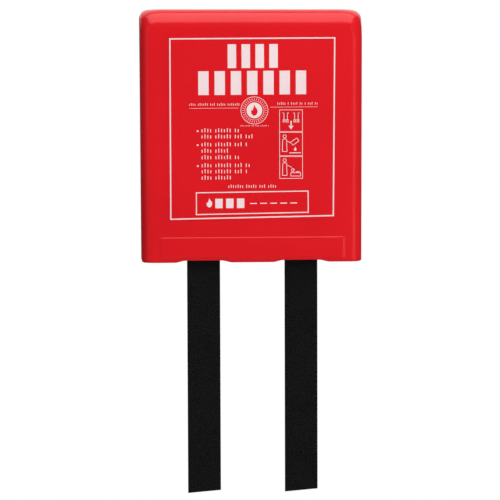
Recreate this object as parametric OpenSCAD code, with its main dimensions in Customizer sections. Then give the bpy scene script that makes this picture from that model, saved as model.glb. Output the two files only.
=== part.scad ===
// Rigid wall case with a folded fire blanket and two pull tapes.
// Frame: the origin is midway between the round entries of the two keyholes, on the wall.
// +Z is up, and -Y is the front.

/* [Case shell] */
// Width of the case at its top
case_w = 168; // [164:1:180]
// How much narrower the case is at its bottom edge
case_taper = 1; // [0:0.2:2.4]
// Height of the case
case_h = 191; // [188:1:210]
// Depth of the case, from the wall to the front face
case_d = 36; // [36:0.5:44]
// Thickness of the moulded walls
wall = 2.2; // [1.8:0.1:2.4]
// Radius of the roll between the front face and the top
top_roll = 15; // [8:0.5:18]
// Radius of the roll between the front face and each side
side_roll = 8; // [4:0.5:10]
// Radius of the top corners, seen from the front
top_corner = 6.5; // [4:0.5:12]
// Radius of the bottom corners, seen from the front
low_corner = 3; // [2.5:0.5:5]
// Radius of the front face's bottom edge
low_edge = 1.2; // [0.6:0.1:1.8]

/* [Lower band] */
// Height of the band along the bottom of the front face
band_h = 19.5; // [12:0.5:24]
// Width of the band
band_w = 140; // [120:1:146]
// How far the band stands proud of the front face
band_proud = 0.5; // [0.2:0.1:1]
// Height of the stiffening bead inside the bottom edge
bead_h = 4; // [2:0.5:6]
// Depth of that bead
bead_d = 1; // [0.5:0.1:1.2]

/* [Tape notches] */
// Depth of the shallow notch over each tape
notch_depth = 1.5; // [0.5:0.1:3]
// Width of a notch where it is at full depth
notch_flat = 27; // [26:0.5:32]
// Length of the smooth ramp at each side of a notch
notch_ramp = 8.5; // [4:0.5:10]

/* [Blanket] */
// Side of the square blanket when it is spread out
blanket_side = 1100; // [1050:5:1100]
// Number of panels across that it is folded into
folds_across = 7; // [7:1:7]
// Number of panels up that it is folded into
folds_up = 6; // [6:1:6]
// Thickness that one layer of the cloth takes up in the pack
layer_t = 0.57; // [0.5:0.01:0.57]
// Gap between the pack and the roof of the case
pack_gap = 2; // [1:0.5:3]

/* [Pull tapes] */
// Width of the webbing
tape_w = 25; // [20:1:26]
// Thickness of the webbing
tape_t = 1.2; // [0.8:0.1:1.2]
// Distance between the middles of the two tapes
tape_pitch = 74; // [60:1:90]
// Length of tape that hangs below the case
tape_drop = 175; // [120:1:250]
// Length of tape that is sewn to the front of the pack
tape_sewn = 45; // [30:1:80]
// How much longer one edge of the cut end is than the other
tape_slant = 2; // [0:0.5:4]

/* [Label] */
// Width of the printed label
label_w = 127; // [100:1:136]
// Height of the printed label
label_h = 138; // [100:1:140]
// Thickness of the label
label_t = 0.2; // [0.1:0.05:0.3]
// Distance from the top of the case to the top of the label
label_top = 21; // [20:0.5:26]

/* [Wall fixings] */
// Distance from the top of the case down to the round entries of the keyholes
entry_down = 48; // [42:1:60]
// Distance between the two keyholes, and between the two lower holes, across the case
screw_pitch = 90; // [70:2:90]
// Radius of the round entry of a keyhole
entry_r = 4.5; // [4:0.1:5]
// Radius of the narrow end of a keyhole, and of the lower holes
shank_r = 2.3; // [2:0.1:2.6]
// Distance from a keyhole's entry up to the screw's resting place
key_rise = 9; // [8:0.5:12]
// Distance from the entries down to the lower holes
lower_down = 112; // [100:1:120]

/* [Hinge] */
// Radius of the hinge knuckles
knuckle_r = 3; // [2.8:0.1:3.1]
// Radius of the two hinge pins
pin_r = 1.25; // [1:0.05:1.4]
// Radial clearance of a pin in its knuckles
pin_gap = 0.05; // [0.02:0.01:0.1]
// Distance from the middle of the case to the middle of each hinge
hinge_x = 50; // [40:1:60]
// Width of the back plate's knuckle
inner_knuckle = 10; // [8:0.5:14]
// Width of each of the cover's knuckles
outer_knuckle = 5.5; // [4:0.5:8]

/* [Hidden] */
$fn = 48;
eps = 0.01;
steps = 8;                              // straight pieces in each rounded stretch of an outline
z_top = entry_down;
z_low = z_top - case_h;
low_w = case_w - case_taper;
// Hinge axis: the cover's top rear edge is rounded about it, so the open cover stays clear of the wall.
back_gap = 0.2;
hinge_r = 3.2;
hinge_y = -(back_gap + hinge_r);
hinge_z = z_top - hinge_r;
swing_gap = 0.3;                        // clearance of everything that the hinge swings past
// Back plate
plate_t = 2.4;
rib_h = 3.8;
rib_t = 2;
rim_t = 1.4;
rim_h = 7.6;
rim_gap = 0.4;
plate_low = z_low + 1.2;
plate_top = hinge_z - hinge_r - swing_gap;
// Blanket pack
pack_w = blanket_side / folds_across;
pack_h = blanket_side / folds_up;
pack_t = folds_across * folds_up * layer_t;
pack_back = -(plate_t + rib_h + 0.4);
pack_front = pack_back - pack_t;
pack_top = z_top - wall - pack_gap;
pack_low = pack_top - pack_h;
pack_round = 7;
// Catch: a ridge inside each side of the cover sits in a groove in the back plate's rim
catch_r = 0.8;
catch_out = 0.3;
catch_low = z_low + 8;
catch_h = 14;
// Tapes
tape_y = pack_front - tape_t / 2;       // middle of the webbing's thickness
tape_hinge_z = z_low - 1;               // where the hanging tape bends as it is pulled forward
tape_joint_gap = 0.3;
thread_w = 0.7;
thread_h = 0.3;

// Points of an arc, from one angle to another
function arc(x, y, r, from, to, n = steps) =
    [for (i = [0:n]) let (a = from + (to - from) * i / n) [x + r * cos(a), y + r * sin(a)]];

// Smooth rise from 0 to 1
function smooth(t) = let (c = min(1, max(0, t))) c * c * (3 - 2 * c);

// Height of the notch in the bottom edge at a place along it
function notch(x) =
    let (off = abs(abs(x) - tape_pitch / 2))
    notch_depth * smooth((notch_flat / 2 + notch_ramp - off) / notch_ramp);

// Places along the bottom edge where the notches' ramps need points
function ramp_places() =
    let (mid = tape_pitch / 2, near = notch_flat / 2, far = near + notch_ramp)
    [for (side = [-1, 1])
        each concat(
            [for (i = [0:steps]) side * mid - far + notch_ramp * i / steps],
            [for (i = [0:steps]) side * mid + near + notch_ramp * i / steps])];

// Half of the case's width at a height, drawn in by some inset
function half_w(z, inset) =
    (low_w + (case_w - low_w) * (z - z_low) / case_h) / 2 - inset;

// Outline seen from the front: rounded top corners and the notched bottom edge
module front_outline(inset, low) {
    top = z_top - inset;
    rt = top_corner - inset;
    rl = low_corner;
    polygon(concat(
        arc(half_w(top, inset) - rt, top - rt, rt, 0, 90),
        arc(-half_w(top, inset) + rt, top - rt, rt, 90, 180),
        arc(-half_w(low, inset) + rl, low + rl, rl, 180, 270),
        [for (x = ramp_places()) [x, low + notch(x)]],
        arc(half_w(low, inset) - rl, low + rl, rl, 270, 360)));
}

// Outline seen from the left side, as [depth, height]
module side_outline(inset, back, low) {
    front = -case_d + inset;
    top = z_top - inset;
    roll = top_roll - inset;
    edge = max(low_edge - inset, 0.2);
    turn = hinge_r - inset;
    polygon(concat(
        [[back, low]],
        back > 0 ? [[back, top]] : arc(hinge_y, hinge_z, turn, 0, 90),
        arc(front + roll, top - roll, roll, 90, 180),
        arc(front + edge, low + edge, edge, 180, 270)));
}

// Outline seen from above, as [across, depth]
module plan_outline(inset, back) {
    w = case_w / 2 - inset;
    front = -case_d + inset;
    roll = side_roll - inset;
    polygon(concat(
        [[w, back], [-w, back]],
        arc(-w + roll, front + roll, roll, 180, 270),
        arc(w - roll, front + roll, roll, 270, 360)));
}

// A solid that has all three outlines of the case
module case_form(inset, back, low) {
    intersection() {
        translate([0, back + 1, 0]) rotate([90, 0, 0]) linear_extrude(case_d + back + 4) front_outline(inset, low);
        rotate([90, 0, 90]) linear_extrude(case_w + 10, center = true) side_outline(inset, back, low);
        translate([0, 0, low - 5]) linear_extrude(case_h + 20) plan_outline(inset, back);
    }
}

// A rod along X
module rod(r, from, to) {
    translate([from, hinge_y, hinge_z]) rotate([0, 90, 0]) cylinder(r = r, h = to - from);
}

// What a knuckle of the other part sweeps through, along X
module knuckle_room(from, to) {
    rod(hinge_r + swing_gap + 0.1, from, to);
    translate([from, hinge_y, hinge_z - 4]) cube([to - from, 5, 9]);
}

// Catch ridges, or the grooves that they sit in
module catches(r) {
    for (side = [-1, 1])
        translate([side * (half_w(catch_low, wall) + catch_r - catch_out), -rim_h + 2.6, catch_low])
            cylinder(r = r, h = catch_h);
}

module for_each_hinge() {
    for (side = [-1, 1]) translate([side * hinge_x, 0, 0]) children();
}

// Band along the bottom of the front face, with a sloping upper edge
module lower_band() {
    slope = 1.2;
    inner = -case_d + 0.4;
    low = z_low + low_edge + notch_depth;
    rotate([90, 0, 90]) linear_extrude(band_w, center = true)
        polygon([
            [inner, low], [-case_d - band_proud + 0.3, low], [-case_d - band_proud, low + 0.8],
            [-case_d - band_proud, z_low + band_h - slope], [-case_d, z_low + band_h], [inner, z_low + band_h]
        ]);
}

module front_cover() {
    color("#da2128") difference() {
        union() {
            difference() {
                case_form(0, -back_gap, z_low);
                case_form(wall, 2, z_low - 6);
            }
            lower_band();
            // stiffening bead inside the bottom edge
            translate([-band_w / 2, -case_d + wall - 0.3, z_low + notch_depth + 0.5])
                cube([band_w, bead_d + 0.3, bead_h]);
            catches(catch_r);
            for_each_hinge() for (side = [-1, 1]) {
                near = inner_knuckle / 2 + swing_gap;
                rod(knuckle_r, side > 0 ? near : -near - outer_knuckle, side > 0 ? near + outer_knuckle : -near);
            }
        }
        for_each_hinge() {
            knuckle_room(-inner_knuckle / 2 - swing_gap, inner_knuckle / 2 + swing_gap);
            rod(pin_r + pin_gap, -20, 20);
        }
    }
}

// Keyhole: round entry below, narrow slot up to the screw's resting place
module keyhole() {
    depth = plate_t + 2;
    translate([0, 1, 0]) rotate([90, 0, 0]) cylinder(r = entry_r, h = depth);
    translate([0, 1, key_rise]) rotate([90, 0, 0]) cylinder(r = shank_r, h = depth);
    translate([-shank_r, 1 - depth, 0]) cube([2 * shank_r, depth, key_rise]);
}

// Open frame of ribs that keeps the pack off a screw's head
module screw_pocket() {
    outer = [2 * entry_r + 5, rib_h + eps, key_rise + entry_r + shank_r + 5];
    inner = [outer[0] - 3, rib_h + 1, outer[2] - 3];
    middle = (shank_r + key_rise - entry_r) / 2;
    translate([0, -plate_t - rib_h / 2, middle]) difference() {
        cube(outer, center = true);
        cube(inner, center = true);
    }
}

module back_plate() {
    rib_top = z_top - 24;
    color("#c81e26") difference() {
        union() {
            // plate
            rotate([90, 0, 0]) linear_extrude(plate_t)
                polygon([
                    [half_w(plate_low, wall + rim_gap), plate_low], [half_w(plate_top, wall + rim_gap), plate_top - 6],
                    [half_w(plate_top, wall + rim_gap) - 6, plate_top], [-half_w(plate_top, wall + rim_gap) + 6, plate_top],
                    [-half_w(plate_top, wall + rim_gap), plate_top - 6], [-half_w(plate_low, wall + rim_gap), plate_low]
                ]);
            // side rims
            for (side = [-1, 1])
                rotate([90, 0, 0]) linear_extrude(rim_h) polygon([for (p = [
                    [half_w(plate_low, wall + rim_gap), plate_low],
                    [half_w(plate_top, wall + rim_gap), plate_top - 6],
                    [half_w(plate_top, wall + rim_gap) - rim_t, plate_top - 6],
                    [half_w(plate_low, wall + rim_gap) - rim_t, plate_low]]) [side * p[0], p[1]]]);
            // ribs that the pack slides on
            for (x = [-64, -24, 0, 24, 64])
                translate([x - rib_t / 2, -plate_t - rib_h, plate_low + 4])
                    cube([rib_t, rib_h + eps, rib_top - plate_low - 4]);
            for (side = [-1, 1]) {
                translate([side * screw_pitch / 2, 0, 0]) screw_pocket();
                translate([side * screw_pitch / 2, 0, -lower_down]) rotate([90, 0, 0])
                    cylinder(r = shank_r + 3, h = plate_t + 1.2);
            }
            for_each_hinge() {
                rod(knuckle_r, -inner_knuckle / 2, inner_knuckle / 2);
                translate([-inner_knuckle / 2, -5.2, plate_top - 6])
                    cube([inner_knuckle, 5.2, hinge_z - plate_top + 6]);
            }
        }
        for (side = [-1, 1]) {
            translate([side * screw_pitch / 2, 0, 0]) keyhole();
            translate([side * screw_pitch / 2, 1, -lower_down]) rotate([90, 0, 0])
                cylinder(r = shank_r, h = plate_t + 4);
        }
        for_each_hinge() rod(pin_r + pin_gap, -20, 20);
        catches(catch_r + 0.3);
    }
}

module hinge_pin(side) {
    half = inner_knuckle / 2 + swing_gap + outer_knuckle - 0.3;
    color("silver") rod(pin_r, side * hinge_x - half, side * hinge_x + half);
}

module front_label() {
    color("#dd2029") translate([-label_w / 2, -case_d - label_t, z_top - label_top - label_h])
        cube([label_w, label_t, label_h]);
}

// Folded pack with rounded edges
module blanket() {
    color("#e8e4d8") intersection() {
        translate([0, pack_back, 0]) rotate([90, 0, 0]) linear_extrude(pack_t)
            rounded(-pack_w / 2, pack_low, pack_w / 2, pack_top, pack_round);
        rotate([90, 0, 90]) linear_extrude(pack_w + 2, center = true)
            rounded(pack_front, pack_low, pack_back, pack_top, pack_round);
    }
}

// Rectangle with rounded corners, from its low and high corners
module rounded(x0, y0, x1, y1, r) {
    polygon(concat(
        arc(x1 - r, y1 - r, r, 0, 90), arc(x0 + r, y1 - r, r, 90, 180),
        arc(x0 + r, y0 + r, r, 180, 270), arc(x1 - r, y0 + r, r, 270, 360)));
}

// Upper end of a tape, sewn to the pack, down to the place where the tape bends
module tape_anchor(side) {
    low = tape_hinge_z + tape_t / 2 + tape_joint_gap;
    high = pack_low + tape_sewn;
    color("#161616") translate([side * tape_pitch / 2 - tape_w / 2, tape_y - tape_t / 2, low])
        cube([tape_w, tape_t, high - low]);
}

// Box and cross of thread on the sewn end
module tape_stitching(side) {
    w = tape_w - 6;
    h = tape_sewn - 16;
    lean = atan2(w, h);
    color("#2a2a2a") translate([side * tape_pitch / 2, tape_y - tape_t / 2, pack_low + 10 + h / 2])
        rotate([90, 0, 0]) linear_extrude(thread_h) {
            difference() {
                square([w, h], center = true);
                square([w - 2 * thread_w, h - 2 * thread_w], center = true);
            }
            intersection() {
                square([w, h], center = true);
                for (turn = [-1, 1]) rotate(turn * lean) square([thread_w, norm([w, h])], center = true);
            }
        }
}

// Hanging tape, with a round upper end about its bending place and a slanting cut
module hanging_tape(side) {
    low = tape_hinge_z - tape_drop;
    color("#161616") {
        translate([side * tape_pitch / 2 - tape_w / 2, tape_y, tape_hinge_z]) rotate([0, 90, 0])
            cylinder(r = tape_t / 2, h = tape_w);
        translate([side * tape_pitch / 2, tape_y + tape_t / 2, 0]) rotate([90, 0, 0]) linear_extrude(tape_t)
            polygon([
                [-tape_w / 2, low], [tape_w / 2, low + tape_slant],
                [tape_w / 2, tape_hinge_z], [-tape_w / 2, tape_hinge_z]
            ]);
    }
}

back_plate();
front_cover();
front_label();
hinge_pin(-1);  // hinge_pin_left
hinge_pin(1);  // hinge_pin_right
blanket();
tape_anchor(-1);  // left_tape_anchor
tape_anchor(1);  // right_tape_anchor
tape_stitching(-1);  // left_tape_stitching
tape_stitching(1);  // right_tape_stitching
hanging_tape(-1);  // left_tape
hanging_tape(1);  // right_tape
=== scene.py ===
"""Fire blanket: a red wall case with a folded cloth blanket inside and two black pull tapes."""
import math
import random

import bmesh
import bpy
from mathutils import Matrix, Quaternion, Vector, noise


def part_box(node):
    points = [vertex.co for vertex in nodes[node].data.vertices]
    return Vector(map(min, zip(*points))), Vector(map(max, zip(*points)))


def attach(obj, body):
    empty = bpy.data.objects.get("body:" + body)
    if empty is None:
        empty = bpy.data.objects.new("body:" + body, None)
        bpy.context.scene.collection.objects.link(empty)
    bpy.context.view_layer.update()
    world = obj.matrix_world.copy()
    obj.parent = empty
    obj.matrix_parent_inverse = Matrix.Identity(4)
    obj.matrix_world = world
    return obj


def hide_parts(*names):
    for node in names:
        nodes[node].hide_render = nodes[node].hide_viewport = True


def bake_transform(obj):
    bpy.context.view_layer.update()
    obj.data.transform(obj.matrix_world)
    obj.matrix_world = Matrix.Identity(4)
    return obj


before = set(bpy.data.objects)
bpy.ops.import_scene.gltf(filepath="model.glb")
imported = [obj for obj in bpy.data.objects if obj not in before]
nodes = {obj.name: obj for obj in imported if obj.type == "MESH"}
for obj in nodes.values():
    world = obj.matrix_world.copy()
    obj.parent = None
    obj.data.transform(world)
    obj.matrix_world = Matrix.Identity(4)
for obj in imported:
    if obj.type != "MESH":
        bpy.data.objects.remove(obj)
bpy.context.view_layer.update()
rng = random.Random(7)

# Sizes in mm, as in the CAD model
WALL = 2.2                                          # thickness of the cover
TOP_W, LOW_W = 168.0, 167.0                         # width of the cover at its top and bottom
TOP_ROLL, SIDE_ROLL, TOP_CORNER = 15.0, 8.0, 6.5    # radii of the rounded front edges and top corners
NOTCH_DEPTH, NOTCH_FLAT, NOTCH_RAMP = 1.5, 27.0, 8.5
BAND_H, BAND_W, BAND_PROUD = 19.5, 140.0, 0.5       # raised band along the bottom of the front
BEAD_H, BEAD_D = 4.0, 1.0                           # stiffening bead inside the bottom edge
HINGE_R, HINGE_X, KNUCKLE_R, BORE_R = 3.2, 50.0, 3.0, 1.3
GAP_HALF, KNUCKLE_LONG = 5.3, 5.5                   # half a fixed knuckle's gap, and a cover knuckle's length
CATCH_Y, CATCH_R = -5.0, 0.8
BACK = -0.2                                         # the cover's rear edge stands clear of the wall
TAPE_PITCH, TAPE_W, TAPE_T = 74.0, 25.0, 1.2


def box_mm(name):
    """The CAD box of a node, as its low and high corner in mm."""
    return [corner * 1000 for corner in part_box(name)]


cover_lo, cover_hi = box_mm("front_cover")
Z_LOW, Z_TOP = cover_lo.z, cover_hi.z
CASE_H = Z_TOP - Z_LOW
FRONT = cover_lo.y + BAND_PROUD
HINGE_Y, HINGE_Z = BACK - HINGE_R, Z_TOP - HINGE_R


def smooth(t):
    """A step from 0 to 1 that starts and ends softly."""
    t = min(1.0, max(0.0, t))
    return t * t * (3 - 2 * t)


def lerp(a, b, t):
    return a + (b - a) * t


# ---------------------------------------------------------------- mesh tools

def make_object(name, verts, faces, smooth_angle=30, mats=()):
    """A mesh object from points in mm."""
    mesh = bpy.data.meshes.new(name)
    mesh.from_pydata([tuple(c * 0.001 for c in v) for v in verts], [], faces)
    mesh.validate()
    obj = bpy.data.objects.new(name, mesh)
    bpy.context.scene.collection.objects.link(obj)
    for m in mats:
        mesh.materials.append(m)
    shade(obj, smooth_angle)
    return obj


def shade(obj, angle):
    """Smooth shading, with sharp edges where the faces turn by more than an angle."""
    bm = bmesh.new()
    bm.from_mesh(obj.data)
    bmesh.ops.recalc_face_normals(bm, faces=bm.faces)
    limit = math.radians(angle)
    for f in bm.faces:
        f.smooth = True
    for e in bm.edges:
        e.smooth = not (len(e.link_faces) != 2 or e.calc_face_angle(0) > limit)
    bm.to_mesh(obj.data)
    bm.free()


def apply_modifiers(obj):
    """Swaps an object's mesh for what its modifiers make of it."""
    graph = bpy.context.evaluated_depsgraph_get()
    mesh = bpy.data.meshes.new_from_object(obj.evaluated_get(graph), depsgraph=graph)
    obj.modifiers.clear()
    old = obj.data
    obj.data = mesh
    bpy.data.meshes.remove(old)


def boolean(obj, other, operation):
    """Adds or cuts one solid from another, and deletes the tool."""
    mod = obj.modifiers.new("cut", "BOOLEAN")
    mod.operation, mod.object, mod.solver = operation, other, "EXACT"
    apply_modifiers(obj)
    bpy.data.objects.remove(other)


def circle(n, r, x=0.0, y=0.0):
    """Points round a circle, anticlockwise."""
    turns = [2 * math.pi * i / n for i in range(n)]
    return [(x + r * math.cos(a), y + r * math.sin(a)) for a in turns]


def loft(rings):
    """Points of closed rings of equal length, and the quads between them."""
    n = len(rings[0])
    verts = [p for ring in rings for p in ring]
    faces = []
    for k in range(len(rings) - 1):
        for i in range(n):
            j = (i + 1) % n
            faces.append((k * n + i, k * n + j, (k + 1) * n + j, (k + 1) * n + i))
    return verts, faces


def box_mesh(name, lo, hi):
    """A box between two corners."""
    x0, y0, z0 = lo
    x1, y1, z1 = hi
    verts = [(x, y, z) for x in (x0, x1) for y in (y0, y1) for z in (z0, z1)]
    faces = [(0, 1, 3, 2), (4, 6, 7, 5), (0, 4, 5, 1), (2, 3, 7, 6), (0, 2, 6, 4), (1, 5, 7, 3)]
    return make_object(name, verts, faces)


def rod_mesh(name, r, x0, x1):
    """A rod along X about the cover's hinge axis."""
    n = 64
    verts = [(x, HINGE_Y + a, HINGE_Z + b) for x in (x0, x1) for a, b in circle(n, r)]
    faces = [(i, (i + 1) % n, n + (i + 1) % n, n + i) for i in range(n)]
    faces += [tuple(range(n)), tuple(range(2 * n - 1, n - 1, -1))]
    return make_object(name, verts, faces)


# ---------------------------------------------------------------- materials

class Nodes:
    """Short calls for building a material's nodes."""

    def __init__(self, name, **sockets):
        self.mat = bpy.data.materials.new(name)
        self.mat.use_nodes = True
        self.tree = self.mat.node_tree
        self.bsdf = self.tree.nodes["Principled BSDF"]
        for key, value in sockets.items():
            self.bsdf.inputs[key.replace("_", " ")].default_value = value

    def add(self, kind, links=None, **settings):
        node = self.tree.nodes.new(kind)
        for key, value in settings.items():
            if hasattr(node, key):
                setattr(node, key, value)
            else:
                node.inputs[key.replace("_", " ")].default_value = value
        for key, source in (links or {}).items():
            self.tree.links.new(source, node.inputs[key])
        return node

    def link(self, source, socket):
        self.tree.links.new(source, self.bsdf.inputs[socket])

    def math(self, operation, a, b=0.0):
        node = self.tree.nodes.new("ShaderNodeMath")
        node.operation = operation
        for k, v in enumerate((a, b)):
            if isinstance(v, (int, float)):
                node.inputs[k].default_value = v
            else:
                self.tree.links.new(v, node.inputs[k])
        return node.outputs[0]

    def ramp(self, source, stops):
        """A blend between two colours, each given with its place."""
        node = self.tree.nodes.new("ShaderNodeValToRGB")
        for stop, (place, colour) in zip(node.color_ramp.elements, stops):
            stop.position, stop.color = place, (*colour, 1)
        self.tree.links.new(source, node.inputs[0])
        return node.outputs[0]

    def coords(self):
        return self.add("ShaderNodeTexCoord").outputs["Object"]

    def rest_coords(self):
        """Each point's place before any bend, which make_tape stores in the mesh."""
        node = self.add("ShaderNodeAttribute", attribute_type="GEOMETRY", attribute_name="rest_at")
        return node.outputs["Vector"]

    def noise(self, coords, scale, detail, roughness=0.5):
        settings = {"Scale": scale, "Detail": detail, "Roughness": roughness}
        return self.add("ShaderNodeTexNoise", {"Vector": coords}, **settings).outputs[0]

    def scaled(self, coords, scale):
        node = self.add("ShaderNodeMapping", {"Vector": coords})
        node.inputs["Scale"].default_value = scale
        return node.outputs[0]

    def bump(self, height, distance, strength, under=None):
        links = {"Height": height}
        if under is not None:
            links["Normal"] = under
        node = self.add("ShaderNodeBump", links)
        node.inputs["Strength"].default_value = strength
        node.inputs["Distance"].default_value = distance
        return node.outputs[0]


def moulded_plastic(name, colour, roughness, shine, grain=1.0):
    """Moulded plastic: fine spark texture, slow waviness and slightly uneven gloss.

    shine is the strength of the reflection, and grain the depth of the spark texture.
    """
    m = Nodes(name, Roughness=roughness, Specular_IOR_Level=shine)
    at = m.coords()
    slow = m.noise(at, 18, 2)
    fine = m.noise(at, 2600, 2, 0.6)
    scuff = m.noise(m.scaled(at, (40, 40, 160)), 4, 5, 0.6)
    dark = tuple(c * 0.93 for c in colour)
    m.link(m.ramp(slow, [(0.3, dark), (0.7, colour)]), "Base Color")
    uneven = m.math("MULTIPLY", m.math("SUBTRACT", scuff, 0.5), 0.12)
    m.link(m.math("ADD", uneven, roughness), "Roughness")
    m.link(m.bump(fine, 0.00002 * grain, 0.3, m.bump(slow, 0.0004, 0.2)), "Normal")
    return m.mat


def woven(name, light, dark, pitch_x, pitch_z, depth, sheen, roughness=0.85, bends=False):
    """Woven cloth, drawn in the XZ plane: ridges of yarn that cross, and loose fibres, with painted shade in
    the weave's hollows.

    Cloth that bends reads each point's place at rest, so its weave bends with it.
    """
    m = Nodes(name, Roughness=roughness, Sheen_Weight=sheen, Sheen_Roughness=0.6, Specular_IOR_Level=0.25)
    at = m.rest_coords() if bends else m.coords()
    split = m.add("ShaderNodeSeparateXYZ", {"Vector": at})
    x, z = split.outputs[0], split.outputs[2]
    turn = 2 * math.pi
    across = m.math("MULTIPLY", x, turn / pitch_x)
    along = m.math("MULTIPLY", z, turn / pitch_z)
    weave = m.math("MULTIPLY", m.math("SINE", across), m.math("SINE", along))
    weave = m.math("ADD", m.math("MULTIPLY", weave, 0.5), 0.5)
    fibre = m.noise(m.scaled(at, (1, 1, 3)), 2200, 3, 0.7)
    cloud = m.noise(at, 60, 3)
    height = m.math("ADD", weave, m.math("MULTIPLY", fibre, 0.35))
    # The colour is darker where the yarn dips, which is painted shade in the weave's hollows, and it varies
    # in cloudy patches of tone.
    hollow_shade_and_tone = m.math("ADD", m.math("MULTIPLY", weave, 0.7), m.math("MULTIPLY", cloud, 0.5))
    m.link(m.ramp(hollow_shade_and_tone, [(0.15, dark), (0.85, light)]), "Base Color")
    m.link(m.bump(height, depth, 0.8), "Normal")
    return m.mat


RED = (0.70, 0.0105, 0.0165)
cover_red = moulded_plastic("cover_red", RED, 0.19, shine=0.35)
label_red = moulded_plastic("label_red", RED, 0.22, shine=0.3, grain=0.3)
plate_red = moulded_plastic("plate_red", (0.60, 0.010, 0.015), 0.4, shine=0.5, grain=2.0)
ink_white = moulded_plastic("ink_white", (0.86, 0.69, 0.70), 0.45, shine=0.3, grain=0.5)
cloth_cream = woven("glass_cloth", (0.80, 0.77, 0.69), (0.52, 0.49, 0.41), pitch_x=0.0013, pitch_z=0.0013,
                    depth=0.0002, sheen=0.1)
tape_black = woven("webbing_black", (0.0055, 0.0055, 0.0058), (0.0008, 0.0008, 0.0009), pitch_x=0.0019,
                   pitch_z=0.0016, roughness=0.8, depth=0.00035, sheen=0.015, bends=True)
thread_black = moulded_plastic("thread_black", (0.03, 0.03, 0.032), 0.6, shine=0.4)
thread_white = moulded_plastic("thread_white", (0.86, 0.85, 0.80), 0.7, shine=0.3)


def steel():
    """Drawn wire with faint lines along it."""
    m = Nodes("pin_steel", Metallic=1.0, Roughness=0.3)
    at = m.coords()
    lines = m.noise(m.scaled(at, (1, 30, 30)), 160, 3)
    m.link(m.ramp(lines, [(0.3, (0.5, 0.5, 0.52)), (0.7, (0.66, 0.66, 0.68))]), "Base Color")
    m.link(m.math("ADD", m.math("MULTIPLY", lines, 0.15), 0.22), "Roughness")
    return m.mat


pin_steel = steel()


def set_material(obj, material):
    """Gives an object one material and no other."""
    obj.data.materials.clear()
    obj.data.materials.append(material)


# ---------------------------------------------------------------- front cover

EDGE_RISE, EDGE_SIDE, EDGE_FRONT = 1.5, 1.9, 1.3    # height and draw-in of the rounded bottom edge
RAMP = 0.6                                          # a short soft step in relief
BAND_LOW, BAND_RAMP = 2.4, 1.2                      # where the band starts, and its upper ramp
BEAD_LOW = 1.8                                      # where the bead starts


def half_w(z):
    """Half the cover's width at a height: it widens slightly towards the top."""
    return lerp(LOW_W, TOP_W, (z - Z_LOW) / CASE_H) / 2


def notch(x):
    """How far the bottom edge is raised: a shallow notch over each tape."""
    off = abs(abs(x) - TAPE_PITCH / 2)
    return NOTCH_DEPTH * smooth((NOTCH_FLAT / 2 + NOTCH_RAMP - off) / NOTCH_RAMP)


def drop(z, r, inset):
    """How far a rounded edge of radius r at the top has drawn in at a height."""
    over = z - (Z_TOP - inset - r)
    return r - math.sqrt(max(0.0, r * r - over * over)) if over > 0 else 0.0


def cover_ring(z, inset, side_in, front_in, relief, back, lift, count):
    """The cover's outline at one height, as a closed ring of (x, y, z)."""
    w = half_w(z) - inset - side_in - drop(z, TOP_CORNER - inset, inset)
    y_front = FRONT + inset + front_in + drop(z, TOP_ROLL - inset, inset)
    r = SIDE_ROLL + 5 * smooth((z - (Z_TOP - 24)) / 22) - inset     # the side roll widens near the top
    y_back = back
    if inset == 0 and z > HINGE_Z:                  # the rear top edge is round, to turn about the hinge
        y_back = HINGE_Y + math.sqrt(max(0.0, HINGE_R ** 2 - (z - HINGE_Z) ** 2))
    sides, rolls = 8, 12
    left = [(-w, lerp(y_back, y_front + r, i / sides)) for i in range(sides)]
    for i in range(rolls):
        a = math.pi + math.pi / 2 * i / rolls
        left.append((-w + r + r * math.cos(a), y_front + r + r * math.sin(a)))
    xs = [lerp(-w + r, w - r, i / count) for i in range(count + 1)]
    ring = [(x, y, z) for x, y in left]
    for x in xs:
        ring.append((x, y_front + relief(x, z), z + lift(x)))
    ring += [(-x, y, z) for x, y in reversed(left)]
    ring += [(x, y_back, z) for x in reversed(xs)]
    return ring, len(left)


def cover_solid(name, inset, rows, relief, back, lift, count):
    """A closed solid through rings at the heights in rows.

    Each row is (z, draw-in at the sides, draw-in at the front, share of the lift).
    """
    rings, side = [], 0
    for z, side_in, front_in, fade in rows:
        ring, side = cover_ring(z, inset, side_in, front_in, relief, back, lambda x: lift(x) * fade, count)
        rings.append(ring)
    verts, faces = loft(rings)
    n = len(rings[0])
    first_front, first_back = side, 2 * side + count + 1
    for base, flip in ((0, False), ((len(rings) - 1) * n, True)):
        caps = []
        for i in range(count):
            front, rear = first_front + i, first_back + count - i
            caps.append((front, front + 1, rear - 1, rear))
        caps.append(tuple(range(0, first_front + 1)) + (first_back + count,))
        caps.append(tuple(range(first_front + count, first_back + 1)))
        for face in caps:
            face = tuple(base + i for i in face)
            faces.append(face if flip else face[::-1])
    return make_object(name, verts, faces)


def band(x, z):
    """Raised band along the bottom of the front face."""
    fade = smooth((z - (Z_LOW + BAND_H - BAND_RAMP)) / BAND_RAMP)
    up = smooth((z - (Z_LOW + BAND_LOW)) / RAMP) * (1 - fade)
    return -BAND_PROUD * up * smooth((BAND_W / 2 - abs(x)) / BAND_RAMP)


def bead(x, z):
    """Stiffening bead inside the bottom edge."""
    fade = smooth((z - (Z_LOW + 2 + BEAD_H)) / RAMP)
    up = smooth((z - (Z_LOW + BEAD_LOW)) / RAMP) * (1 - fade)
    return BEAD_D * up * smooth((BAND_W / 2 - abs(x)) / 1.5)


def roll_heights(top, r, steps):
    """Heights up a rounded top edge, closer together where it turns over."""
    return [top - r + r * math.sin(math.pi / 2 * i / steps) for i in range(steps + 1)]


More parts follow.
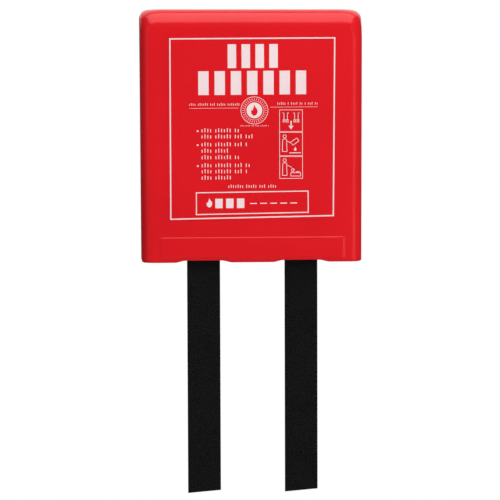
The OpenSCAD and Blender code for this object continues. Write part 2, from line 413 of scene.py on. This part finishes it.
def outer_rows():
    """Rows for the cover's outside, close together at the bottom edge, the band and the top."""
    rows = []
    for i in range(7):
        a = math.pi / 2 * i / 6
        tuck = 1 - math.sin(a)
        rows.append((Z_LOW + EDGE_RISE * (1 - math.cos(a)), EDGE_SIDE * tuck, EDGE_FRONT * tuck, 1.0))
    heights = [Z_LOW + h for h in (1.8, 2.4, 2.6, 2.8, 3.0, 3.4, 6, 10, 14, 17.4)]
    heights += [Z_LOW + BAND_H - BAND_RAMP + 0.2 * k for k in range(7)] + [Z_LOW + BAND_H + RAMP]
    z = Z_LOW + 24
    while z < Z_TOP - TOP_ROLL - 3:
        heights.append(z)
        z += 5
    heights += roll_heights(Z_TOP, TOP_ROLL, 24)
    for z in heights:                               # the notches' lift dies out up the front
        rows.append((z, 0.0, 0.0, smooth((Z_LOW + 16 - z) / 12) if z > Z_LOW + BAND_LOW else 1.0))
    return rows


def inner_rows():
    """Rows for the hollow inside, from below the open bottom up to the roof."""
    heights = [Z_LOW + h for h in (-4, BEAD_LOW, 2.1, 2.4, 4, 6, 6.3, 6.6, 10, 40, 90, 140)]
    heights += roll_heights(Z_TOP - WALL, TOP_ROLL - WALL, 12)
    return [(z, 0.0, 0.0, 0.0) for z in heights]


def cut_hinge(cover, middle):
    """One hinge on the cover: a gap for the fixed knuckle, a knuckle on each side of it, and the bore."""
    left, right = middle - GAP_HALF, middle + GAP_HALF
    clearance, bore_half = 0.4, 20
    gap_lo, gap_hi = (left, HINGE_Y, HINGE_Z - 4), (right, 3, Z_TOP + 2)
    boolean(cover, box_mesh("gap", gap_lo, gap_hi), "DIFFERENCE")
    boolean(cover, rod_mesh("gap", HINGE_R + clearance, left, right), "DIFFERENCE")
    for start in (left - KNUCKLE_LONG, right):
        boolean(cover, rod_mesh("knuckle", KNUCKLE_R, start, start + KNUCKLE_LONG), "UNION")
    boolean(cover, rod_mesh("bore", BORE_R, middle - bore_half, middle + bore_half), "DIFFERENCE")


def add_catch(cover, side):
    """A small rounded ridge near the rear edge of a side wall, inside, where the cover clips shut."""
    low, high, around = Z_LOW + 8, Z_LOW + 22, 32
    tip_r, taper, sunk = 0.5, 0.6, 0.5
    rings = []
    for z, r in ((low, tip_r), (low + taper, CATCH_R), (high - taper, CATCH_R), (high, tip_r)):
        out = half_w(z) - WALL + sunk
        rings.append([(side * (out + a), y, z) for a, y in circle(around, r, 0.0, CATCH_Y)])
    verts, faces = loft(rings)
    faces += [tuple(range(around)), tuple(range(4 * around - 1, 3 * around - 1, -1))]
    boolean(cover, make_object("catch", verts, faces), "UNION")


def make_cover():
    cover = cover_solid("front_cover_shell", 0.0, outer_rows(), band, BACK, notch, 160)
    hollow = cover_solid("cover_inner", WALL, inner_rows(), bead, 3.0, lambda x: 0.0, 60)
    boolean(cover, hollow, "DIFFERENCE")
    for middle in (-HINGE_X, HINGE_X):
        cut_hinge(cover, middle)
    for side in (-1, 1):
        add_catch(cover, side)
    shade(cover, 28)
    set_material(cover, cover_red)
    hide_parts("front_cover")
    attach(cover, "cover")


# ---------------------------------------------------------------- printed label

PRINT_Y, PRINT_T = FRONT - 0.2, 0.08
RISE = 0.006                                        # the print is set very slightly askew
THIN = 0.42                                         # line width of the pictograms
BADGE_X, BADGE_Z = 1.6, -28.4


def rect(x0, z0, x1, z1):
    """The corners of a rectangle, anticlockwise."""
    return [(x0, z0), (x1, z0), (x1, z1), (x0, z1)]


class Print:
    """Flat printed shapes on the label, each a thin raised plate of ink."""

    def __init__(self, name, y, thick):
        self.name, self.y, self.thick = name, y, thick
        self.verts, self.faces = [], []

    def polygon(self, points):
        n, base = len(points), len(self.verts)
        self.verts += [(x, self.y, z) for x, z in points] + [(x, self.y - self.thick, z) for x, z in points]
        self.faces.append(tuple(range(base + n, base + 2 * n)))
        self.faces.append(tuple(range(base + n - 1, base - 1, -1)))
        for i in range(n):
            j = (i + 1) % n
            self.faces.append((base + i, base + j, base + n + j, base + n + i))

    def bar(self, x0, z0, x1, z1, tilt=0.0):
        """A rectangle from its left, bottom, right and top, rising by tilt per mm."""
        self.polygon([(x0, z0 + tilt * x0), (x1, z0 + tilt * x1), (x1, z1 + tilt * x1), (x0, z1 + tilt * x0)])

    def bars(self, count, left, pitch, width, low, high):
        """A row of equal bars, askew like the rest of the print."""
        for k in range(count):
            x = left + pitch * k
            self.bar(x, low, x + width, high, RISE)

    def line(self, a, b, width):
        (x0, z0), (x1, z1) = a, b
        d = Vector((x1 - x0, z1 - z0)).normalized() * width / 2
        nx, nz = -d.y, d.x
        self.polygon([(x0 + nx, z0 + nz), (x1 + nx, z1 + nz), (x1 - nx, z1 - nz), (x0 - nx, z0 - nz)])

    def frame(self, corners, width):
        """A closed line round four corners, given anticlockwise, with mitred joints."""
        inner, outer = [], []
        cx = sum(p[0] for p in corners) / 4
        cz = sum(p[1] for p in corners) / 4
        for x, z in corners:
            sx, sz = math.copysign(width / 2, x - cx), math.copysign(width / 2, z - cz)
            outer.append((x + sx, z + sz))
            inner.append((x - sx, z - sz))
        for i in range(4):
            j = (i + 1) % 4
            self.polygon([outer[i], outer[j], inner[j], inner[i]])

    def disc(self, x, z, r, n=64):
        self.polygon(circle(n, r, x, z))

    def ring(self, x, z, r, width, n=72):
        inner, outer = circle(n, r - width / 2, x, z), circle(n, r + width / 2, x, z)
        for i in range(n):
            j = (i + 1) % n
            self.polygon([outer[i], outer[j], inner[j], inner[i]])

    def letters(self, x0, x1, z, height, lengths=(4, 6, 3, 5, 7, 2)):
        """Rows of small strokes where a line of small print would stand: they spell nothing."""
        pitch, stroke, low = 0.72 * height, 0.2 * height, z - height / 2
        x, k, left = x0, 0, lengths[0]
        while x < x1:
            tall = height * (1.0, 0.72, 0.86)[(k + left) % 3]
            self.bar(x, low, x + stroke, low + tall)
            x += pitch
            left -= 1
            if left == 0:
                k += 1
                left = lengths[k % len(lengths)]
                x += 0.8 * pitch

    def outline(self, points, width):
        """A closed thin line through some points."""
        for a, b in zip(points, points[1:] + points[:1]):
            self.line(a, b, width)

    def build(self, material):
        obj = make_object(self.name, self.verts, self.faces, 20, [material])
        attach(obj, "cover")
        return obj


def flame(x, z, size):
    """Outline of a plain flame."""
    half = [(0.0, 1.0), (0.16, 0.62), (0.42, 0.34), (0.5, 0.0), (0.44, -0.34), (0.24, -0.6), (0.0, -0.68)]
    left = [(-0.2, -0.64), (-0.44, -0.4), (-0.52, -0.02), (-0.4, 0.26), (-0.28, 0.1), (-0.16, 0.5)]
    return [(x + a * size, z + b * size) for a, b in half + left]


def print_title(ink):
    """The frame and the title, as plain blocks."""
    ink.frame([(-61.7, -110), (61.2, -108), (62.4, 25.9), (-61.7, 25.2)], 0.95)
    ink.bars(4, left=-18.4, pitch=10.45, width=6.4, low=3.4, high=21.2)
    ink.bars(7, left=-40.6, pitch=12.25, width=7.8, low=-16.6, high=1.2)


def print_badge(ink):
    """A round badge: a dotted rim and a white disc. The flame on it is a piece of its own."""
    ink.ring(BADGE_X, BADGE_Z, 10.2, 0.35)
    ink.ring(BADGE_X, BADGE_Z, 7.2, 0.25)
    dots = 32
    for a, b in zip(circle(dots, 8.0, BADGE_X, BADGE_Z), circle(dots, 9.3, BADGE_X, BADGE_Z)):
        ink.line(a, b, 0.3)
    ink.disc(BADGE_X, BADGE_Z, 5.9)
    ink.letters(-9, 12.2, -39.9, 1.0)


def print_small(ink):
    """Small print and thin rules beside the badge, and three steps, each a dot and short lines."""
    ink.letters(-47.4, -9.4, -23.8, 1.9)
    ink.bar(-47.4, -26.6, -10.5, -26.4, RISE)
    ink.letters(19, 49.4, -23.2, 1.9, (5, 1, 4, 2, 1, 3))
    ink.bar(13.5, -26.2, 49.4, -26.0, RISE)
    steps = [((-43.2, -9.2), (-47.8, 0.1)), ((-53.7, -3.2), (-58.5, -17.6), (-63.4, -10.5)),
             ((-69.4, -0.7), (-74.0, -3.7), (-78.7, -13.5))]
    for lines in steps:
        ink.disc(-41.2, lines[0][0] - 0.6, 0.7, 20)
        for z, end in lines:
            ink.letters(-38.2, end, z, 3.0)
    ink.letters(-18.1, 18.3, -85.4, 2.4, (7, 5, 3))


def print_pictograms(ink):
    """Three pictures in thin line: pull down, cover the flame, turn off the heat."""
    left, right = 20.6, 37.9
    middle = (left + right) / 2
    for low, high in ((-44.4, -28.1), (-62.6, -45.0), (-79.7, -63.2)):
        ink.frame(rect(left, low, right, high), 0.36)

    for x in (25.2, 33.3):                          # two tapes with a hand on each
        ink.outline(rect(x - 1.3, -35.6, x + 1.3, -30.4), THIN)
        for k in range(4):
            finger = x - 1.8 + 1.2 * k
            ink.line((finger, -35.2), (finger, -37.6), 0.55)
        ink.line((x - 2.4, -30.4), (x + 2.4, -30.4), THIN)
    ink.line((middle, -36.4), (middle, -40.2), 0.9)
    ink.polygon([(27.4, -40.0), (31.1, -40.0), (middle, -42.8)])

    for head in (-48.0, -66.0):                     # a person, in both of the lower pictures
        foot = head - 11.4
        ink.ring(24.4, head, 1.2, THIN, 24)
        ink.outline([(23.0, head - 2.0), (25.8, head - 2.0), (26.2, foot), (22.6, foot)], THIN)
        ink.line((25.6, head - 3.2), (29.8, head - 5.4), THIN)
    ink.outline([(28.8, -52.6), (33.6, -49.2), (35.2, -51.4), (30.8, -54.6)], THIN)
    ink.polygon(flame(32.4, -57.6, 1.9))
    ink.line((28.0, -60.4), (36.6, -60.4), 0.6)

    ink.ring(30.6, -73.4, 1.1, THIN, 24)            # a stove and its knob
    ink.line((30.6, -73.4), (31.4, -72.6), THIN)
    ink.outline([(29.0, -77.9), (29.0, -75.4), (36.4, -75.4), (36.4, -77.9)], THIN)
    ink.line((33.0, -74.8), (35.6, -74.8), 0.6)


def print_panel(ink):
    """The maker's panel, with a plain flame and bars in place of a name."""
    ink.frame([(-42.4, -106.6), (42.2, -105.4), (42.1, -89.3), (-42.4, -90.2)], 0.75)
    ink.polygon(flame(-32.6, -98.4, 4.2))
    ink.bars(3, left=-28.2, pitch=8.2, width=5.6, low=-101.8, high=-94.6)
    ink.bars(5, left=-1.8, pitch=7.6, width=5.0, low=-98.8, high=-98.1)


def make_label():
    lo, hi = box_mm("front_label")
    film = box_mesh("label_film", lo, hi)
    set_material(film, label_red)
    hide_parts("front_label")
    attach(film, "cover")

    ink = Print("label_print", PRINT_Y, PRINT_T)
    for part in (print_title, print_badge, print_small, print_pictograms, print_panel):
        part(ink)
    ink.build(ink_white)

    badge_flame = Print("badge_flame", PRINT_Y - PRINT_T, 0.03)
    badge_flame.polygon(flame(BADGE_X, BADGE_Z - 0.7, 4.9))
    badge_flame.build(label_red)


make_cover()
make_label()

# ---------------------------------------------------------------- blanket

SHEET = 1100.0                                      # width and height of the blanket when spread out
ACROSS, UP = 7, 6                                   # layers folded to and fro across, then up
LAYER, CLOTH = 0.57, 0.42                           # pitch of the layers, and the cloth's own thickness
HALF_PACK = 78.0                                    # half the folded pack's width


def folded_path(panels, length, radius, straight, bend, draw_in):
    """Points (along, depth, direction angle) of a strip folded to and fro.

    Each fold is drawn in by a random amount up to draw_in. straight and bend are the steps along a panel and
    round a fold.
    """
    ends = [length / 2] + [length / 2 - draw_in * rng.random() for _ in range(panels - 1)] + [length / 2]
    out = []
    for k in range(panels):
        sign = 1 if k % 2 == 0 else -1
        start, end = -sign * ends[k], sign * ends[k + 1]
        for i in range(0 if k == 0 else 1, straight + 1):
            out.append((lerp(start, end, i / straight), 2 * radius * k, 0.0 if sign > 0 else math.pi))
        if k < panels - 1:
            for i in range(1, bend + 1):
                a = math.pi * i / bend
                out.append((end + sign * radius * math.sin(a), 2 * radius * k + radius * (1 - math.cos(a)),
                            a if sign > 0 else math.pi - a))
    return out


def stitches(name, paths, depth, material, length, gap, r, under=lambda x, z: 0.0):
    """Rows of thread: short rounded stitches that lie on a face and dip in at both ends.

    under says how far the face stands forward at each place.
    """
    verts, faces = [], []
    around, rings = 6, 5
    for a, b in paths:
        a, b = Vector(a), Vector(b)
        run = (b - a).length
        d = (b - a) / run
        side = Vector((d.y, -d.x))
        count = max(1, int((run + gap) / (length + gap)))
        pitch = (run + gap) / count
        for k in range(count):
            base = len(verts)
            for j in range(rings):
                u = j / (rings - 1)
                at = a + d * (k * pitch + u * (pitch - gap))
                lift = r * (0.15 + 0.85 * math.sin(math.pi * u))
                for i in range(around):
                    t = 2 * math.pi * i / around
                    p = at + side * r * math.cos(t)
                    verts.append((p.x, depth - lift - r * 0.8 * math.sin(t) - under(p.x, p.y), p.y))
            for j in range(rings - 1):
                for i in range(around):
                    q = (i + 1) % around
                    faces.append((base + j * around + i, base + j * around + q,
                                  base + (j + 1) * around + q, base + (j + 1) * around + i))
            faces.append(tuple(base + i for i in range(around - 1, -1, -1)))
            faces.append(tuple(base + (rings - 1) * around + i for i in range(around)))
    obj = make_object(name, verts, faces, 60, [material])
    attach(obj, "pack")
    return obj


def hem_strip(name, x0, z0, x1, z1, depth):
    """A turned edge of the cloth, with soft sides."""
    wide = x1 - x0 > z1 - z0
    run, across = (x1 - x0, z1 - z0) if wide else (z1 - z0, x1 - x0)
    ribs, steps = 40, 16
    thick, soft_side = 0.35, 0.7

    def place(s, u, y):
        return (x0 + s, y, z0 + u * across) if wide else (x0 + u * across, y, z0 + s)

    rings = []
    for k in range(ribs + 1):
        s = run * k / ribs
        face, rear = [], []
        for i in range(steps + 1):
            u = i / steps
            edge = min(1.0, min(u, 1 - u) * across / soft_side)
            up = thick * math.sqrt(max(0.0, 1 - (1 - edge) ** 2)) + 0.03 * math.sin(0.9 * s + 3 * u)
            face.append(place(s, u, depth - up))
            rear.append(place(s, u, depth + 0.05))
        rings.append(face + rear[::-1])
    verts, faces = loft(rings)
    n = len(rings[0])
    faces += [tuple(range(n)), tuple(range(len(verts) - 1, len(verts) - n - 1, -1))]
    verts = [(x, y - crumple(x, z), z) for x, y, z in verts]
    hem = make_object(name, verts, faces, 60, [cloth_cream])
    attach(hem, "pack")
    return hem


def crumple(x, z):
    """How far the cloth stands forward: soft unevenness and old creases, flat where the tapes are sewn on."""
    flat = smooth((z + 90) / 22)
    soft = 0.8 * noise.fractal(Vector((0.019 * x, 0.019 * z, 3.1)), 0.7, 2.0, 3)
    creases = sum(math.exp(-((v - at) / 4.5) ** 2) for v, at in ((x, -24.0), (x, 27.0), (z, -34.0)))
    return flat * (soft + 0.45 * creases - 0.5 * smooth((abs(x) - 64) / 14))


def make_blanket():
    """One sheet folded to and fro across, and the bundle then folded to and fro upwards."""
    lo, hi = box_mm("blanket")
    bundle = ACROSS * LAYER
    wide = (SHEET - (ACROSS - 1) * math.pi * LAYER / 2) / ACROSS - 0.4
    tall = (SHEET - (UP - 1) * math.pi * bundle / 2) / UP - 2.2
    across = folded_path(ACROSS, wide, LAYER / 2, 24, 6, 1.2)
    up = folded_path(UP, tall, bundle / 2, 24, 10, 1.6)
    mid_z = (lo.z + hi.z) / 2
    front = lo.y + bundle / 2
    verts = []
    for z, depth, turn in up:
        for x, level, _ in across:
            off = level - (bundle - LAYER) / 2
            share = x / HALF_PACK
            drift = 0.35 * math.sin(0.21 * depth + 0.011 * z) * share - 0.35 * abs(share)
            loose = 0.12 * math.sin(0.045 * x + 1.3 * level + depth) * math.cos(0.038 * z + 0.7 * level)
            height = mid_z + z - off * math.sin(turn)
            y = front + depth + off * math.cos(turn) + loose
            swell = crumple(x, height) * (1 - (y - lo.y) / (hi.y - lo.y)) ** 2
            verts.append((x + drift, y - swell, height))
    n = len(across)
    faces = []
    for k in range(len(up) - 1):
        for i in range(n - 1):
            faces.append((k * n + i, k * n + i + 1, (k + 1) * n + i + 1, (k + 1) * n + i))
    cloth = make_object("folded_blanket", verts, faces, 180, [cloth_cream])
    mod = cloth.modifiers.new("thickness", "SOLIDIFY")
    mod.thickness, mod.offset = CLOTH * 0.001, 0
    apply_modifiers(cloth)
    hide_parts("blanket")
    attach(cloth, "pack")

    # the cloth's own edges are turned over and sewn: one runs along the bottom, one up the left
    face = front - (bundle - LAYER) / 2 - CLOTH / 2 - 0.05
    left, low = -wide / 2 + 0.3, mid_z - tall / 2 + 0.2
    right, top = wide / 2 - 2.2, mid_z + tall / 2 - 4
    hem_w, seam = 12, 9.5
    seams = [((left + 1.5, low + seam), (right - 1, low + seam)),
             ((left + seam, low + 11), (left + seam, top - 1))]
    hems = [hem_strip("hem_bottom", left, low, right, low + hem_w, face),
            hem_strip("hem_side", left, low + hem_w, left + hem_w, top, face),
            stitches("hem_stitching", seams, face - 0.3, thread_white,
                     length=3.2, gap=1.4, r=0.22, under=crumple)]


make_blanket()

# ---------------------------------------------------------------- pull tapes

BEND_TOP, BEND_LOW = -139.0, -149.0                 # the rings are close together here, for the bend
SLANT, THIN_EDGE = 2.0, 1.2                         # slope of the cut end, and width of the thinner edges


def make_tape(side, label):
    """One strap from its sewn end to its heat-cut end, for a hanging tape and its anchor."""
    anchor_lo, anchor_hi = box_mm(label + "_tape_anchor")
    top, low = anchor_hi.z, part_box(label + "_tape")[0].z * 1000
    mid_x, mid_y = side * TAPE_PITCH / 2, (anchor_lo.y + anchor_hi.y) / 2
    heights = [lerp(top, BEND_TOP, i / 8) for i in range(8)]
    heights += [lerp(BEND_TOP, BEND_LOW, i / 40) for i in range(40)]
    heights += [lerp(BEND_LOW, low, i / 110) for i in range(111)]
    half, across = TAPE_W / 2, 24
    section = [(-half + TAPE_W * i / across, 1) for i in range(across + 1)]
    section += [(-x, -face) for x, face in section]
    rings = []
    for height in heights:
        u = (top - height) / (top - low)
        ring = []
        for x, face in section:
            end = low + SLANT * (x + half) / TAPE_W
            edge = max(0.0, 1 - (half - abs(x)) / THIN_EDGE)
            thick = TAPE_T / 2 * math.sqrt(max(0.05, 1 - 0.8 * edge * edge))
            ring.append((mid_x + x, mid_y - face * thick, lerp(top, end, u)))
        rings.append(ring)
    verts, faces = loft(rings)
    n = len(section)
    faces += [tuple(range(n - 1, -1, -1)), tuple(range(len(verts) - n, len(verts)))]
    tape = make_object(label + "_pull_tape", verts, faces, 50, [tape_black])
    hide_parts(label + "_tape", label + "_tape_anchor")
    rest_at = tape.data.attributes.new("rest_at", "FLOAT_VECTOR", "POINT")
    for place, vert in zip(rest_at.data, tape.data.vertices):
        place.vector = vert.co
    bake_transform(tape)


def make_tape_stitching(label):
    """Box and cross of thread on the sewn end, with a second row inside the box."""
    lo, hi = box_mm(label + "_tape_stitching")
    paths = []
    for inset in (0.3, 1.7):
        corners = rect(lo.x + inset, lo.z + inset, hi.x - inset, hi.z - inset)
        paths += list(zip(corners, corners[1:] + corners[:1]))
    a, b, c, d = rect(lo.x + 2.5, lo.z + 2.5, hi.x - 2.5, hi.z - 2.5)
    paths += [(a, c), (b, d)]
    sewn = stitches(label + "_box_stitch", paths, hi.y, thread_black, length=2.0, gap=0.8, r=0.19)
    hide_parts(label + "_tape_stitching")


for side, label in ((-1, "left"), (1, "right")):
    make_tape(side, label)
    make_tape_stitching(label)

# ---------------------------------------------------------------- CAD pieces that stay

set_material(nodes["back_plate"], plate_red)
for name in ("hinge_pin_left", "hinge_pin_right"):
    set_material(nodes[name], pin_steel)

# ---------------------------------------------------------------- floor, lights and camera

scene = bpy.context.scene
scene.view_settings.view_transform = "Standard"
scene.view_settings.look = "None"

world = bpy.data.worlds.new("studio")
scene.world = world
world.use_nodes = True
world.node_tree.nodes["Background"].inputs["Color"].default_value = (1, 1, 1, 1)
world.node_tree.nodes["Background"].inputs["Strength"].default_value = 0.05


def glowing(name):
    """Plain white, as bright as paper under full light."""
    m = bpy.data.materials.new(name)
    m.use_nodes = True
    m.node_tree.nodes.clear()
    glow = m.node_tree.nodes.new("ShaderNodeEmission")
    out = m.node_tree.nodes.new("ShaderNodeOutputMaterial")
    m.node_tree.links.new(glow.outputs[0], out.inputs[0])
    return m


def add_stage(name, mesh, place=(0, 0, 0)):
    """A white stage piece that the camera sees, and that neither lights nor shades the object."""
    obj = bpy.data.objects.new(name, mesh)
    scene.collection.objects.link(obj)
    obj.location = place
    set_material(obj, glowing(name + "_white"))
    obj.visible_diffuse = obj.visible_glossy = obj.visible_shadow = obj.visible_transmission = False


def floor_mesh(half):
    """A square sheet."""
    mesh = bpy.data.meshes.new("floor")
    corners = [(x, z, 0) for x, z in rect(-half, -half, half, half)]
    mesh.from_pydata(corners, [], [(0, 1, 2, 3)])
    return mesh


def backdrop_mesh(radius):
    """A ball round everything."""
    mesh = bpy.data.meshes.new("backdrop")
    bm = bmesh.new()
    bmesh.ops.create_icosphere(bm, subdivisions=3, radius=radius)
    bm.to_mesh(mesh)
    bm.free()
    return mesh


def area_light(name, power, size, place, target, glossy):
    """A rectangular light aimed at a point. Only the glossy ones show as reflections."""
    light = bpy.data.lights.new(name, "AREA")
    light.energy = power
    light.shape, light.size, light.size_y = "RECTANGLE", size[0], size[1]
    obj = bpy.data.objects.new(name, light)
    scene.collection.objects.link(obj)
    obj.location = place
    obj.rotation_euler = (Vector(target) - Vector(place)).to_track_quat("-Z", "Y").to_euler()
    obj.visible_glossy = glossy
    obj.visible_camera = False


add_stage("floor", floor_mesh(6), (0, 0, -2.0))
add_stage("backdrop", backdrop_mesh(9))

# name, watts, size, place, target, and whether it shows in reflections
LIGHTS = [("ceiling", 17, (1.6, 1.4), (0.0, -0.45, 0.95), (0, -0.45, 0), True),
          ("rear_top", 9, (2.4, 1.3), (0.0, 1.0, 0.75), (0, 0, 0), True),
          ("front_right", 42, (1.2, 1.2), (1.25, -2.1, -0.25), (0, 0, -0.1), False),
          ("front_left", 12, (1.2, 1.2), (-1.7, -1.7, 0.4), (0, 0, -0.1), False),
          ("rear_left", 26, (1.2, 1.2), (-1.2, 2.2, 0.6), (0, 0, -0.1), False),
          ("rear_right", 26, (1.2, 1.2), (1.1, 2.3, -0.4), (0, 0, -0.1), False),
          ("below", 10, (1.2, 1.2), (0.0, -0.25, -1.7), (0, 0, -0.1), False)]
for settings in LIGHTS:
    area_light(*settings)

cam_data = bpy.data.cameras.new("camera")
cam_data.sensor_width = 36.0
cam_data.lens = 153.18
cam_data.clip_end = 100
camera = bpy.data.objects.new("camera", cam_data)
scene.collection.objects.link(camera)
camera.location = (-0.1144, -1.636, -0.0296)
# the camera looks a little to the right and down, and is rolled by a fifth of a degree
yaw, pitch, roll = math.radians(4.017), math.radians(-3.711), math.radians(-0.187)
aim = Vector((math.sin(yaw) * math.cos(pitch), math.cos(yaw) * math.cos(pitch), math.sin(pitch)))
camera.rotation_euler = (aim.to_track_quat("-Z", "Y") @ Quaternion((0, 0, 1), roll)).to_euler()
scene.camera = camera
